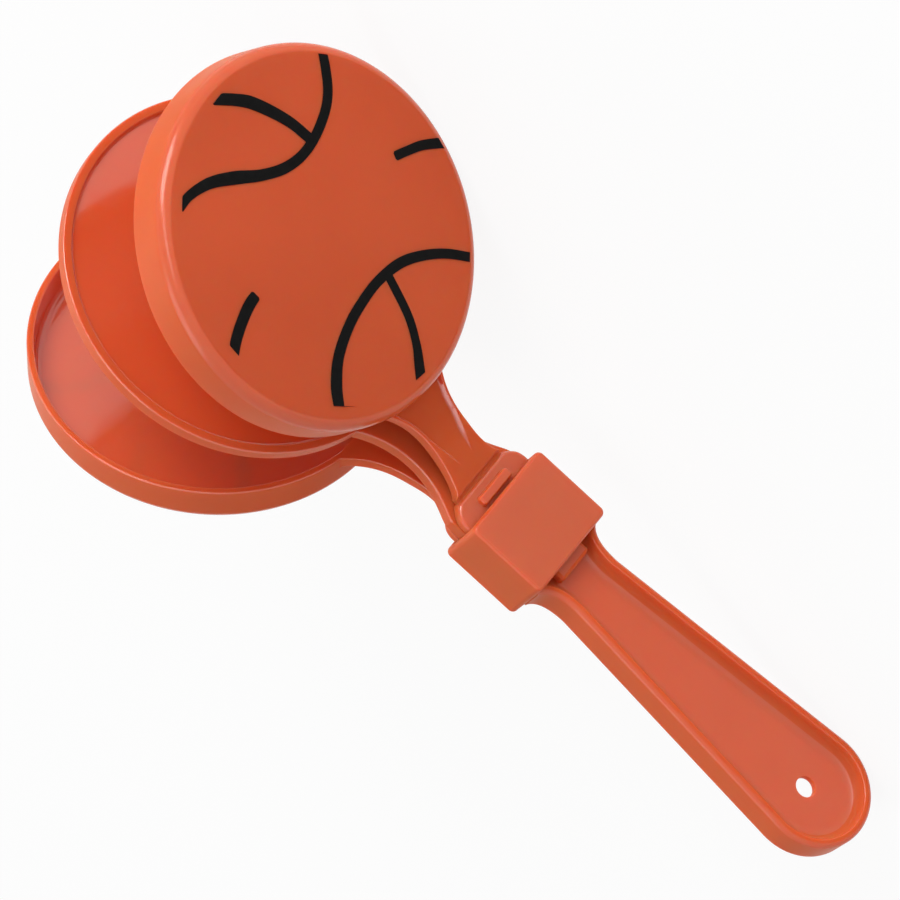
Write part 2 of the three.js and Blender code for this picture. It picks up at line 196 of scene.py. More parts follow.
# Handle
HANDLE_LENGTH = 91.7
TIP_RADIUS = 14.7
GRIP_WAIST_HALF = 8.8
GRIP_WAIST_DROP = 9.5
GRIP_SHOULDER_DROP = 0.4
HANDLE_TOP_CORNER = 7
HANDLE_HALF_DEPTH = 4.3
HANDLE_ROUND = 1.3
HANDLE_RIM = 2.0
HANDLE_RIM_ROUND = 0.5
HANDLE_SLOPE = 1.2
HANDLE_COVE = 3.4
HANDLE_COVE_RUN = 2.6
HANDLE_WEB_HALF = 0.9
HOLE_RADIUS = 2.45
HOLE_OFFSET = 1.0
HOLE_ROUND = 0.25
HOLE_ROUND_MIDDLE = 0.07
HOLE_BEYOND = 0.5

# Print
PRINT_THICKNESS = 0.12
PRINT_ROOT = 0.05
PRINT_EDGE = [(0, 0.05), (0.02, 0.015), (0.06, 0)]
PRINT_RADIUS = 39.3
PRINT_OVERRUN = 0.4
PRINT_SHIFT = -1.9
STROKE_CORNER = 0.45

INNER_Z = PADDLE_DEPTH / 2 + LAYER_GAP
ARM_TOP = INNER_Z + ARM_THICKNESS
HINGE_Z = INNER_Z + FILM_THICKNESS / 2
DISH_TOP = INNER_Z + DISH_HEIGHT
TIP_CENTRE_X = -COLLAR_LENGTH - HANDLE_LENGTH + TIP_RADIUS

# Steps of rounds, corners and curves
ROUND_STEPS = 192
CORNER_STEPS = 6
FINE_CORNER_STEPS = 8
RECTANGLE_STEPS = 10
CURVE_STEPS = 28
TIP_STEPS = 40
HANDLE_TOP_STEPS = 12
NECK_ROOT_STEPS = 24
HOLE_STEPS = 48
TAIL_ROOT_STEPS = 5
FILM_STEPS = 14
FILM_CORNER_STEPS = 3
STROKE_STEPS = 10
ARM_END_SHARES = (0, 0.1, 0.3, 0.6)

# Points this close are one point, in a new solid and after its cuts. A point this near the middle
# line has no mirror image. An edge that turns by more than this many degrees is sharp.
SAME_POINT = 1e-5
WELD_GAP = 0.0005
ON_MIDDLE = 1e-6
SHARP_DEG = 38

# The block that cuts off what lies past the handle, and half its depth
CUT_REACH = 20
CUT_HALF = 10

# Looks of the plastic: how its tint and its roughness drift, and the noise that drives them
TINT_DRIFT = (0.35, 0.65)
FLOW_DRIFT = (0.3, 0.7)
ROUGHNESS_DRIFT = 0.05
BROAD_NOISE = {"Scale": 22, "Detail": 2}
FLOW_NOISE = {"Scale": 60, "Detail": 4, "Distortion": 1.5}
GRAIN_NOISE = {"Scale": 900, "Detail": 3}
GRAIN = {"Strength": 0.05, "Distance": 0.0001}
SCATTER_COLOUR = (1.0, 0.28, 0.1)
SCATTER = 0.004
THIN_SCATTER = 0.0005
PLASTIC_IOR = 1.49
ORANGE_SHADES = ((0.62, 0.114, 0.036), (0.66, 0.126, 0.041))
MATTE_SHADES = ((0.62, 0.116, 0.038), (0.66, 0.128, 0.043))
POLISHED_SHADES = ((0.62, 0.112, 0.036), (0.66, 0.124, 0.041))
# The dish faces take a darker copy of the orange: painted shade for the dimmer light that falls on them
SHADED_FACE_SHADES = ((0.56, 0.103, 0.040), (0.60, 0.114, 0.045))

# Looks of the print, with fine specks of gloss
SPECK_NOISE = {"Scale": 700, "Detail": 4}
SPECK_DRIFT = (0.3, 0.8)
INK_SHADES = ((0.003, 0.003, 0.003), (0.006, 0.006, 0.006))
INK_ROUGHNESS = (0.35, 0.55)
INK_SPECULAR = 0.06

# Which finish a face takes. A flat face looks this nearly along an axis, and a rounded edge's face
# this far up or down. The margin keeps a face that lies on a border on the right side of it.
FLAT_LEAST = 0.94
EDGE_LIFT = 0.35
MARGIN = 0.05
GROOVE_BAND = 1.8
GROOVE_TURN = 0.2
WEB_BAND = 0.6
WEB_LIFT = 0.8
RIM_BAND = 1.2
LIP_BAND = 0.3
TAIL_BAND = 0.1
FILLET_LIFT = (0.2, 0.995)

# Floor and lamps, in metres and watts. A lamp has its place, its width and height, and its power,
# and points at the target.
FLOOR_HALF = 3
FLOOR_GREY = 0.86
FLOOR_GLOW = 0.9
ROOM_STRENGTH = 0.42
TARGET = Vector((0, -0.005, 0.04))
LAMPS = {
    "key": ((0.84, -0.79, 0.40), (0.6, 0.6), 8),
    "window": ((0.21, -1.05, 0.59), (0.6, 0.25), 1.4),
    "back": ((0.6, 0.84, 0.64), (0.7, 0.7), 3.5),
    "top": ((0, 0, 1.24), (0.8, 0.8), 3.5),
}

# Camera, fitted to the photograph: its place, which way it looks, and its lens in millimetres
CAMERA_PLACE = Vector((-17.91, -883.26, 594.87)) * MM
CAMERA_LOOK = Vector((0.02785, 0.84159, -0.53940)).normalized()
CAMERA_UP = Vector((0.77667, -0.35792, -0.51834))
CAMERA_LENS = 184.226
CAMERA_SENSOR = 36

# Seam strokes on a dish face. Each point is (x, y, width), measured from the centre of the disc.
SEAMS = {
    "seam_outer": [
        [(28.4, 26.5, 2.2), (28.7, 22, 2.2), (27.3, 16, 2.6), (24, 10, 3), (20, 4, 2.6), (17.2, -2, 2.5),
         (16.2, -8, 2.4), (17, -14, 2.5), (19.2, -20, 2.5), (22, -24, 2.6), (26, -27.2, 2.6),
         (29.5, -29.4, 2.4)],
        [(16.6, -12.5, 2.6), (24, -10.4, 2.7), (32, -6.1, 3), (36, -2.5, 2.8), (40, 2.4, 2.6)],
    ],
    "seam_stub_low": [
        [(0.1, -28, 2.2), (-1.2, -31.6, 2.2), (-2.8, -35.6, 2.3), (-5, -39.2, 2.4), (-7.6, -43, 2.6)],
    ],
    "seam_stub_high": [
        [(2.4, 24, 2.6), (1.9, 27.3, 2.8), (0.6, 31.3, 2.8), (-1.2, 35.3, 2.8), (-3.6, 39, 2.6)],
    ],
    "seam_inner": [
        [(-30.5, 25.6, 2.8), (-29, 24.4, 2.9), (-25.4, 21.6, 3.1), (-21.4, 16.6, 2.8), (-18.5, 9.6, 2.6),
         (-17.1, 3, 2.5), (-16.6, -4, 2.4), (-17.6, -11.4, 2.5), (-20.2, -17.4, 2.4), (-24.4, -23.4, 2.3),
         (-30.5, -29.3, 2.2)],
        [(-40, 3, 2.8), (-37, 0.7, 2.7), (-33, -2.2, 2.3), (-27, -5, 2.3), (-16.6, -7.3, 2.3)],
    ],
}


# Places: the flat frame, and the frames of the mouldings that are turned over or swung open
joints = {joint["name"]: joint for joint in frame["joints"]}


def flat_frame():
    """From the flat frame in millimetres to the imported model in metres, as its joints give it."""
    along = -Vector(joints["collar_slide"]["axis"]).normalized()
    across = -Vector(joints["front_hinge"]["axis"]).normalized()
    out = along.cross(across)
    front = Vector(joints["front_hinge"]["pos_m"])
    rear = Vector(joints["rear_hinge"]["pos_m"])
    origin = (front + rear) / 2 - HINGE_X * MM * along
    turn = Matrix((along, across, out)).transposed().to_4x4()
    return Matrix.Translation(origin) @ turn @ Matrix.Scale(MM, 4)


def rest_angle(joint):
    """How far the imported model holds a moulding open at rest, where its joint is at zero."""
    return math.radians(-joints[joint]["range_deg"][0])


def swing(joint):
    """Turns a moulding from closed to its place at rest."""
    pivot = Matrix.Translation((HINGE_X, 0, HINGE_Z))
    return pivot @ Matrix.Rotation(-rest_angle(joint), 4, "Y") @ pivot.inverted()


FLAT = flat_frame()
SIDES = {
    "front": (FLAT, swing("front_hinge")),
    "rear": (FLAT @ Matrix.Rotation(math.pi, 4, "X"), swing("rear_hinge")),
}


# Outlines and profiles
def rounded(corners, steps=CORNER_STEPS):
    """A path through corners (x, y, radius), each rounded by its radius."""
    path = []
    for i, (x, y, radius) in enumerate(corners):
        here = Vector((x, y))
        if radius == 0:
            path.append(here)
            continue
        back = (Vector(corners[i - 1][:2]) - here).normalized()
        ahead = (Vector(corners[(i + 1) % len(corners)][:2]) - here).normalized()
        half = back.angle(ahead) / 2
        centre = here + (back + ahead).normalized() * radius / math.sin(half)
        start = here + back * radius / math.tan(half) - centre
        end = here + ahead * radius / math.tan(half) - centre
        sweep = start.angle_signed(end)
        for k in range(steps + 1):
            path.append(centre + Matrix.Rotation(-sweep * k / steps, 2) @ start)
    return path


def edge_profile(half_depth, radius, steps=CORNER_STEPS):
    """A slab's edge, (inset, height), from its rear face to its front face and rounded at both."""
    inside = radius + 1
    path = rounded([
        (inside, -half_depth, 0),
        (0, -half_depth, radius),
        (0, half_depth, radius),
        (inside, half_depth, 0),
    ], steps)
    return path[1:-1]


def bend(first, last):
    """A curve between two points, each (x, y, direction in degrees, how far it holds to that)."""
    (x0, y0, deg0, hold0), (x1, y1, deg1, hold1) = first, last
    p0 = Vector((x0, y0))
    p3 = Vector((x1, y1))
    p1 = p0 + hold0 * Vector((math.cos(math.radians(deg0)), math.sin(math.radians(deg0))))
    p2 = p3 - hold1 * Vector((math.cos(math.radians(deg1)), math.sin(math.radians(deg1))))
    points = []
    for i in range(CURVE_STEPS + 1):
        t = i / CURVE_STEPS
        s = 1 - t
        points.append(s * s * s * p0 + 3 * s * s * t * p1 + 3 * s * t * t * p2 + t * t * t * p3)
    return points


def arc(centre_x, centre_y, radius, from_deg, to_deg, steps=CORNER_STEPS):
    """Points along an arc from one angle to another, counterclockwise where the second is larger."""
    points = []
    for i in range(steps + 1):
        angle = math.radians(from_deg + (to_deg - from_deg) * i / steps)
        points.append(Vector((centre_x + radius * math.cos(angle), centre_y + radius * math.sin(angle))))
    return points


def rectangle(low_x, high_x, half_y, radius):
    corners = [(high_x, -half_y), (high_x, half_y), (low_x, half_y), (low_x, -half_y)]
    return rounded([(x, y, radius) for x, y in corners], RECTANGLE_STEPS)


def mirrored(half):
    """A closed outline, counterclockwise, from its upper half, which runs from high X to low X."""
    return half + [Vector((p.x, -p.y)) for p in reversed(half) if p.y > ON_MIDDLE]


def outward(outline):
    """Each point's way out of a counterclockwise outline, longer where the corner is sharper."""
    ways = []
    for i, point in enumerate(outline):
        before = (point - outline[i - 1]).normalized()
        after = (outline[(i + 1) % len(outline)] - point).normalized()
        first = Vector((before.y, -before.x))
        second = Vector((after.y, -after.x))
        ways.append((first + second) / (1 + first.dot(second)))
    return ways


def smooth_step(value, low, high):
    """From 0 at the low value to 1 at the high one, with no corner at either."""
    share = min(1, max(0, (value - low) / (high - low)))
    return share * share * (3 - 2 * share)


def from_axis(spot):
    return math.hypot(spot.x - DISC_CENTRE, spot.y)


# Meshes
def mesh_object(name, points, faces):
    mesh = bpy.data.meshes.new(name)
    mesh.from_pydata([tuple(p) for p in points], [], faces)
    work = bmesh.new()
    work.from_mesh(mesh)
    bmesh.ops.remove_doubles(work, verts=work.verts, dist=SAME_POINT)
    bmesh.ops.recalc_face_normals(work, faces=work.faces)
    work.to_mesh(mesh)
    work.free()
    obj = bpy.data.objects.new(name, mesh)
    bpy.context.scene.collection.objects.link(obj)
    return obj


def ring_faces(rings, size):
    """Quads between rings of equal size, with the first and the last ring filled."""
    faces = []
    for ring in range(rings - 1):
        here = ring * size
        there = here + size
        for k in range(size):
            after = (k + 1) % size
            faces.append((here + k, here + after, there + after, there + k))
    faces.append(tuple(reversed(range(size))))
    faces.append(tuple((rings - 1) * size + k for k in range(size)))
    return faces


def loft(name, sections):
    """A solid through closed sections of equal size."""
    points = [point for section in sections for point in section]
    return mesh_object(name, points, ring_faces(len(sections), len(sections[0])))


def slab(name, outline, profile):
    """A solid whose edge follows a profile of (inset, height) all along an outline."""
    ways = outward(outline)
    rings = []
    for inset, height in profile:
        rings.append([(p.x - inset * way.x, p.y - inset * way.y, height) for p, way in zip(outline, ways)])
    return loft(name, rings)


def lathe(name, profile):
    """A solid turned about the disc's axis from a profile of (radius, height) that meets the axis."""
    turns = [2 * math.pi * k / ROUND_STEPS for k in range(ROUND_STEPS)]
    rings = []
    for radius, height in profile:
        rings.append([(DISC_CENTRE + radius * math.cos(t), radius * math.sin(t), height) for t in turns])
    return loft(name, rings)


def combine(target, other, operation="UNION"):
    """Joins another solid to the target, or cuts it out, and leaves only the target."""
    cut = target.modifiers.new(operation, "BOOLEAN")
    cut.operation = operation
    cut.solver = "MANIFOLD"
    cut.object = other
    depsgraph = bpy.context.evaluated_depsgraph_get()
    mesh = bpy.data.meshes.new_from_object(target.evaluated_get(depsgraph))
    target.modifiers.clear()
    target.data = mesh
    bpy.data.objects.remove(other)
    return target


def weld(mesh):
    """Joins points that a cut left all but on top of each other, and drops the slivers between them."""
    work = bmesh.new()
    work.from_mesh(mesh)
    bmesh.ops.remove_doubles(work, verts=work.verts, dist=WELD_GAP)
    bmesh.ops.dissolve_degenerate(work, edges=work.edges, dist=WELD_GAP)
    work.to_mesh(mesh)
    work.free()


def finish_piece(obj, place, body, materials, nodes, finish=None):
    """Places a piece. Where it has a finish, that says which of its materials each face takes."""
    weld(obj.data)
    obj.data.materials.clear()
    for material in materials:
        obj.data.materials.append(material)
    for face in obj.data.polygons:
        face.material_index = materials.index(finish(face.center, face.normal)) if finish else 0
    obj.data.transform(place)
    obj.data.shade_smooth()
    obj.data.set_sharp_from_angle(angle=math.radians(SHARP_DEG))
    weigh = obj.modifiers.new("weigh", "WEIGHTED_NORMAL")
    weigh.keep_sharp = True
    if body:
        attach(obj, body)
    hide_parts(*nodes)


# Centre paddle
def handle_outline():
    waist_x = -COLLAR_LENGTH - GRIP_WAIST_DROP
    run = waist_x - TIP_CENTRE_X
    lean = math.asin(TIP_RADIUS / math.hypot(run, GRIP_WAIST_HALF)) - math.atan2(GRIP_WAIST_HALF, run)
    corner = HANDLE_TOP_CORNER
    waist = (waist_x, GRIP_WAIST_HALF, 0, GRIP_WAIST_HOLD)
    shoulder = (-COLLAR_LENGTH - GRIP_SHOULDER_DROP, SHOULDER_HALF, GRIP_LEAN, GRIP_HOLD)
    half = [Vector((0, 0))]
    half += arc(-corner, SHOULDER_HALF - corner, corner, 0, 90, HANDLE_TOP_STEPS)
    half += bend(waist, shoulder)[::-1]
    half += arc(TIP_CENTRE_X, 0, TIP_RADIUS, 90 - math.degrees(lean), 180, TIP_STEPS)
    return mirrored(half)


def hole_cutter():
    drill = arc(TIP_CENTRE_X + HOLE_OFFSET, 0, HOLE_RADIUS, 0, 360 - 360 / HOLE_STEPS, HOLE_STEPS - 1)
    upper = [
        (0, HANDLE_WEB_HALF - HOLE_ROUND),
        (-HOLE_ROUND_MIDDLE, HANDLE_WEB_HALF - HOLE_ROUND_MIDDLE),
        (-HOLE_ROUND, HANDLE_WEB_HALF),
        (-HOLE_ROUND - HOLE_BEYOND, HANDLE_WEB_HALF + HOLE_BEYOND),
    ]
    lower = [(inset, -height) for inset, height in reversed(upper)]
    return slab("hole", drill, lower + upper)


def handle():
    floor_start = HANDLE_RIM + HANDLE_SLOPE
    upper = rounded([
        (floor_start + HANDLE_COVE_RUN, HANDLE_WEB_HALF, 0),
        (floor_start, HANDLE_WEB_HALF, HANDLE_COVE),
        (HANDLE_RIM, HANDLE_HALF_DEPTH, HANDLE_RIM_ROUND),
        (0, HANDLE_HALF_DEPTH, HANDLE_ROUND),
        (0, 0, 0),
    ])
    lower = [(p.x, -p.y) for p in reversed(upper[:-1])]
    body = slab("center_paddle_piece", handle_outline(), upper + lower)
    top_x = -COLLAR_LENGTH + TONGUE_STOP - LAYER_GAP
    corners = [(top_x, -CUT_REACH), (CUT_REACH, -CUT_REACH), (CUT_REACH, CUT_REACH), (top_x, CUT_REACH)]
    above = slab("above", [Vector(c) for c in corners], [(0, -CUT_HALF), (0, CUT_HALF)])
    body = combine(body, above, "DIFFERENCE")
    return combine(body, hole_cutter(), "DIFFERENCE")


def root_curve(waist_half, root_half):
    """One edge of a neck or arm from its waist to the disc, which it enters on a flare."""
    end_x = DISC_CENTRE - math.sqrt(DISC_RADIUS ** 2 - root_half ** 2) + ROOT_BEYOND
    return bend((ARM_WAIST_X, waist_half, 0, ROOT_HOLD), (end_x, root_half, ROOT_LEAN, ROOT_HOLD))


def neck():
    reach = DISC_RADIUS - DISC_RIM / 2
    root = root_curve(NECK_WAIST_HALF, NECK_ROOT_HALF)
    flare = [p for p in root if (p - Vector((DISC_CENTRE, 0))).length > reach]
    last = flare[-1]
    end_deg = math.degrees(math.atan2(last.y, last.x - DISC_CENTRE))
    shoulder = (NECK_SHOULDER_END, SHOULDER_HALF, 0, NECK_SHOULDER_HOLD)
    waist = (ARM_WAIST_X, NECK_WAIST_HALF, 0, NECK_WAIST_HOLD)
    half = arc(DISC_CENTRE, 0, reach, 180, end_deg, NECK_ROOT_STEPS)
    half += flare[::-1]
    half += bend(shoulder, waist)[-2::-1]
    half += arc(-COLLAR_LENGTH + NECK_CORNER, SHOULDER_HALF - NECK_CORNER, NECK_CORNER, 90, 180)
    return slab("neck", mirrored(half), edge_profile(PADDLE_DEPTH / 2 - NECK_SINK, NECK_ROUND))


def centre_disc():
    rim = PADDLE_DEPTH / 2
    floor = DISC_FLOOR / 2
    inner = DISC_RADIUS - DISC_RIM
    upper = [
        (DISC_RADIUS, rim, RIM_ROUND),
        (inner, rim, RIM_INNER_ROUND),
        (inner - RIM_DRAFT, floor, RIM_COVE),
        (0, floor, 0),
    ]
    lower = [(radius, -height, rounding) for radius, height, rounding in reversed(upper)]
    return lathe("disc", rounded(lower + upper))


def centre_paddle():
    paddle = combine(handle(), neck())
    return combine(paddle, centre_disc())


# Outer mouldings
def dish():
    wall_top = LIP_RADIUS - DISH_TAPER
    inside_top = DISH_TOP - DISH_WALL
    return lathe("dish", rounded([
        (0, inside_top, 0),
        (wall_top - DISH_WALL, inside_top, DISH_INNER_FILLET),
        (LIP_RADIUS - DISH_WALL, INNER_Z, LIP_ROUND),
        (LIP_RADIUS, INNER_Z, LIP_ROUND),
        (wall_top, DISH_TOP, DISH_FILLET),
        (0, DISH_TOP, 0),
    ], FINE_CORNER_STEPS))


def arm_edge():
    hinge = (HINGE_X + GROOVE_HALF, HINGE_HALF - ARM_END_INSET, HINGE_LEAN, HINGE_HOLD)
    near = bend(hinge, (ARM_WAIST_X, ARM_WAIST_HALF, 0, WAIST_HOLD))
    first = [near[0].lerp(near[1], share) for share in ARM_END_SHARES]
    return first + near[1:] + root_curve(ARM_WAIST_HALF, ARM_ROOT_HALF)[1:]


def groove_dip(distance):
    """How far the rounded edge of the groove has dropped at a distance inside it."""
    short = max(0, GROOVE_ROUND - distance)
    return GROOVE_ROUND - math.sqrt(GROOVE_ROUND ** 2 - short ** 2)


def arm_section(x, half):
    """A section across an arm: flanges beside a channel, on a flat underside."""
    deep = smooth_step(x, CHANNEL_START, CHANNEL_FULL)
    top = ARM_TOP + FLANGE_RISE * deep - groove_dip(x - HINGE_X - GROOVE_HALF)
    floor = top - CHANNEL_LEAST - (CHANNEL_DEPTH - CHANNEL_LEAST) * deep
    channel = CHANNEL_END_HALF + CHANNEL_WIDENING * max(0, x - CHANNEL_START)
    least = FLANGE_LEAST + (FLANGE_AT_DISH - FLANGE_LEAST) * smooth_step(x, *FLANGE_GROWS)
    flange = max(least, half - channel)
    slope = CHANNEL_SLOPE * (1 + deep)
    side = [
        (half, INNER_Z, ARM_ROUND),
        (half, top, ARM_ROUND),
        (half - flange, top, ARM_ROUND),
        (half - flange - slope, floor, CHANNEL_COVE),
    ]
    other = [(-y, z, rounding) for y, z, rounding in reversed(side)]
    return rounded(side + other)


def arm():
    """The arm's sections, leant along the groove at one end and wrapped round the dish at the other."""
    reach = LIP_RADIUS - DISH_WALL / 2
    edge = arm_edge()
    start_x = edge[0].x
    end_x = edge[-1].x
    sections = []
    for point in edge:
        ring = []
        for y, z in arm_section(point.x, point.y):
            wall_x = DISC_CENTRE - math.sqrt(max(0, reach * reach - y * y))
            share = (point.x - start_x) / (end_x - start_x)
            x = point.x + (wall_x - end_x) * share ** 4
            near = 1 - smooth_step(x, start_x, start_x + GROOVE_LEAN_REACH)
            x += GROOVE_LEAN * max(0, z - HINGE_Z) * near
            clear = LIP_RADIUS - math.hypot(DISC_CENTRE - x, y)
            if z > INNER_Z + ROOT_COVE_FROM and clear > -ROOT_COVE:
                rise = ROOT_COVE + min(0, clear)
                z += ROOT_COVE - math.sqrt(max(0, ROOT_COVE ** 2 - rise ** 2))
            ring.append((x, y, z))
        sections.append(ring)
    return loft("arm", sections)


def tongue():
    stop_x = -COLLAR_LENGTH + TONGUE_STOP
    tail_x = -COLLAR_LENGTH - TAIL_REACH
    shoulder = (SHOULDER_END, SHOULDER_HALF, 0, SHOULDER_HOLD)
    hinge = (HINGE_X - GROOVE_HALF, HINGE_HALF + HINGE_FLARE, SHOULDER_LEAN, SHOULDER_LEAN_HOLD)
    edge = bend(shoulder, hinge)
    # The inset edges would cross at a point this close to the hinge's corner
    del edge[-2]
    half = edge[::-1]
    half += arc(stop_x + TONGUE_CORNER, SHOULDER_HALF - TONGUE_CORNER, TONGUE_CORNER, 90, 180)
    root = TAIL_ROOT_CORNER
    half += arc(stop_x - root, TAIL_HALF + root, root, 0, -90, TAIL_ROOT_STEPS)
    half += arc(tail_x + TAIL_CORNER, TAIL_HALF - TAIL_CORNER, TAIL_CORNER, 90, 180)
    plate = slab("tongue", mirrored(half), rounded([
        (TONGUE_INSET, INNER_Z, 0),
        (0, INNER_Z, TONGUE_UNDER_ROUND),
        (0, ARM_TOP, TONGUE_ROUND),
        (TONGUE_INSET, ARM_TOP, 0),
    ]))
    for vertex in plate.data.vertices:
        if vertex.co.x > TONGUE_LEAN_START:
            near = smooth_step(vertex.co.x, TONGUE_LEAN_START, HINGE_X - GROOVE_HALF - TONGUE_LEAN_SHORT)
            vertex.co.x -= GROOVE_LEAN * max(0, vertex.co.z - HINGE_Z) * near
    return plate


def bump():
    half = BUMP_WIDTH / 2
    outline = rectangle(BUMP_X - half, BUMP_X + half, BUMP_LENGTH / 2, BUMP_CORNER)
    return slab("bump", outline, rounded([
        (-BUMP_SKIRT, ARM_TOP - ROOTED, 0),
        (-BUMP_SKIRT, ARM_TOP + BUMP_SKIRT_LOW, 0),
        (0, ARM_TOP + BUMP_SKIRT_HIGH, BUMP_COVE),
        (BUMP_DRAFT, ARM_TOP + BUMP_HEIGHT, BUMP_ROUND),
        (BUMP_TOP_INSET, ARM_TOP + BUMP_HEIGHT, 0),
    ]))


def rail(side):
    start = -COLLAR_LENGTH + TONGUE_STOP + RAIL_END_GAP
    middle = Vector((0, side * RAIL_OFFSET))
    outline = [p + middle for p in rectangle(start, -RAIL_END_GAP, RAIL_WIDTH / 2, RAIL_CORNER)]
    top = ARM_TOP + RAIL_HEIGHT
    return slab("rail", outline, rounded([
        (0, ARM_TOP - ROOTED, 0),
        (0, top, RAIL_ROUND),
        (RAIL_TOP_INSET, top, 0),
    ]))


def tongue_piece():
    piece = combine(tongue(), bump())
    for side in (-1, 1):
        piece = combine(piece, rail(side))
    return piece


def film(joint):
    """The bent strip between tongue and arm, from the flat tongue to the swung arm."""
    opened = rest_angle(joint)
    half = HINGE_HALF - FILM_INSET
    reach = GROOVE_HALF + FILM_ROOT
    low = FILM_LIFT - FILM_THICKNESS / 2
    high = FILM_THICKNESS / 2 + FILM_RISE
    corners = [(half, low), (half, high), (-half, high), (-half, low)]
    ring = rounded([(y, z, FILM_ROUND) for y, z in corners], FILM_CORNER_STEPS)
    sections = []
    for i in range(FILM_STEPS + 1):
        along = -reach + 2 * reach * i / FILM_STEPS
        turned = opened * smooth_step(along, -GROOVE_HALF, GROOVE_HALF)
        x = HINGE_X + along * math.cos(turned / 2)
        z = HINGE_Z + max(0, along) * math.sin(turned)
        sections.append([(x - p.y * math.sin(turned), p.x, z + p.y * math.cos(turned)) for p in ring])
    return loft("film", sections)


# Collar
def collar():
    face = rectangle(-COLLAR_LENGTH, 0, COLLAR_HALF_Y, COLLAR_CORNER)
    block = slab("collar_piece", face, edge_profile(COLLAR_HALF_Z, COLLAR_EDGE, FINE_CORNER_STEPS))
    flare = [(-BORE_EDGE - BORE_BEYOND, BORE_BEYOND), (-BORE_EDGE, 0)]
    for k in range(1, CORNER_STEPS + 1):
        turn = math.radians(90 * k / CORNER_STEPS)
        flare.append((-BORE_EDGE * (1 - math.sin(turn)), -BORE_EDGE * (1 - math.cos(turn))))
    other_end = [(inset, -COLLAR_LENGTH - along) for inset, along in reversed(flare)]
    opening = rectangle(-BORE_HALF_Z, BORE_HALF_Z, BORE_HALF_Y, BORE_CORNER)
    bore = slab("bore", opening, flare + other_end)
    bore.data.transform(Matrix.Rotation(math.pi / 2, 4, "Y"))
    return combine(block, bore, "DIFFERENCE")


# Print
def spline(points):
    """A smooth line through points, which it passes with even tension."""
    path = []
    ends = [2 * points[0] - points[1]] + points + [2 * points[-1] - points[-2]]
    for i in range(len(points) - 1):
        p0, p1, p2, p3 = ends[i:i + 4]
        for k in range(STROKE_STEPS):
            t = k / STROKE_STEPS
            path.append(0.5 * (2 * p1 + (p2 - p0) * t + (2 * p0 - 5 * p1 + 4 * p2 - p3) * t * t
                               + (3 * p1 - p0 - 3 * p2 + p3) * t ** 3))
    return path + [points[-1]]


def stroke_outline(points):
    """The outline of a stroke, narrowed at its ends and kept inside the printed circle."""
    line = spline([Vector(p) for p in points])
    border = Vector((0, PRINT_SHIFT))
    lengths = [0]
    for before, after in zip(line, line[1:]):
        lengths.append(lengths[-1] + (after - before).xy.length)
    left = []
    right = []
    for i, point in enumerate(line):
        way = (line[min(i + 1, len(line) - 1)] - line[max(i - 1, 0)]).xy.normalized()
        half = point.z / 2
        from_end = min(lengths[i], lengths[-1] - lengths[i])
        if from_end < STROKE_CORNER:
            half -= STROKE_CORNER - math.sqrt(STROKE_CORNER ** 2 - (STROKE_CORNER - from_end) ** 2)
        aside = Vector((-way.y, way.x)) * half
        for edge, spot in ((left, point.xy + aside), (right, point.xy - aside)):
            far = (spot - border).length
            if far <= PRINT_RADIUS + PRINT_OVERRUN:
                edge.append(border + (spot - border) * min(1, PRINT_RADIUS / far))
    return [p + Vector((DISC_CENTRE, 0)) for p in right + left[::-1]]


def stroke(points):
    top = DISH_TOP + PRINT_THICKNESS
    profile = [(0, DISH_TOP - PRINT_ROOT)] + [(inset, top - below) for inset, below in PRINT_EDGE]
    band = slab("stroke", stroke_outline(points), profile)
    flat_radius = LIP_RADIUS - DISH_TAPER - DISH_FILLET
    for vertex in band.data.vertices:
        past = from_axis(vertex.co) - flat_radius
        if past > 0:
            vertex.co.z -= DISH_FILLET - math.sqrt(DISH_FILLET ** 2 - past ** 2)
    return band


def seam(strokes):
    print_piece = stroke(strokes[0])
    for points in strokes[1:]:
        print_piece = combine(print_piece, stroke(points))
    return print_piece


# Materials
def node(tree, kind, **values):
    """A new node. Each value sets the input of that name or else the node's own setting."""
    made = tree.nodes.new(kind)
    for name, value in values.items():
        if name in made.inputs:
            made.inputs[name].default_value = value
        else:
            setattr(made, name, value)
    return made


def noise(tree, **values):
    """A noise texture that stays with the object, as its Fac output."""
    place = node(tree, "ShaderNodeTexCoord")
    texture = node(tree, "ShaderNodeTexNoise", **values)
    tree.links.new(place.outputs["Object"], texture.inputs["Vector"])
    return texture.outputs["Fac"]


def tint(tree, shader, drift, between, shades):
    """Base colour from one shade to another as the drift goes between two shares."""
    colour = node(tree, "ShaderNodeValToRGB")
    for element, share, shade in zip(colour.color_ramp.elements, between, shades):
        element.position = share
        element.color = (*shade, 1)
    tree.links.new(drift, colour.inputs["Fac"])
    tree.links.new(colour.outputs["Color"], shader.inputs["Base Color"])


def roughen(tree, shader, drift, between, roughness):
    """Roughness from one value to another as the drift goes between two shares."""
    gloss = node(tree, "ShaderNodeMapRange")
    for name, value in zip(("From Min", "From Max", "To Min", "To Max"), (*between, *roughness)):
        gloss.inputs[name].default_value = value
    tree.links.new(drift, gloss.inputs["Value"])
    tree.links.new(gloss.outputs["Result"], shader.inputs["Roughness"])


def new_material(name, specular):
    """A new material, with the tree of its nodes and its shader."""
    material = bpy.data.materials.new(name)
    material.use_nodes = True
    shader = material.node_tree.nodes["Principled BSDF"]
    shader.inputs["Specular IOR Level"].default_value = specular
    return material, material.node_tree, shader


